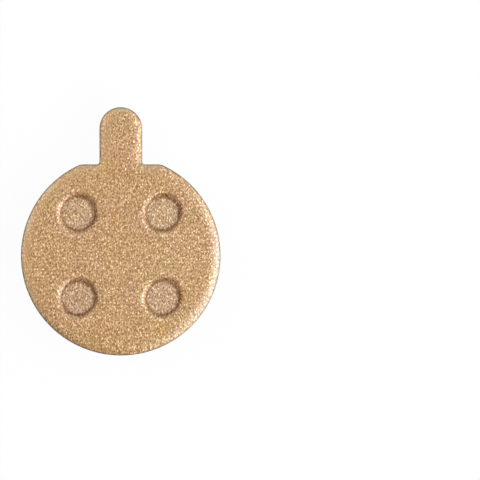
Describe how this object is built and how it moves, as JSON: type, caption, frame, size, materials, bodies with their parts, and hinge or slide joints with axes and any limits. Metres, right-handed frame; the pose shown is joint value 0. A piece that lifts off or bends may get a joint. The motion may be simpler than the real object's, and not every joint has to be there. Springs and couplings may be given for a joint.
{
  "type": "disc brake pad",
  "caption": "Round bicycle disc brake pad: a sintered friction block bonded to a dimpled, coated steel plate with a pull tab, pressed against the rotor by the caliper.",
  "frame": {"origin": "centre of the round braking face, on the disc's axis", "axes": "+Z from the braking face through the pad to the plate's back, +Y from the disc's centre along the tab, +X to the right"},
  "size_m": [0.022, 0.0274, 0.004],
  "materials": {
    "coated_steel": "rough metallic copper-gold coat",
    "friction_compound": "matte granular sintered"
  },
  "bodies": {
    "root": {"backing_plate": "coated_steel", "friction_pad": "friction_compound"}
  },
  "joints": []
}
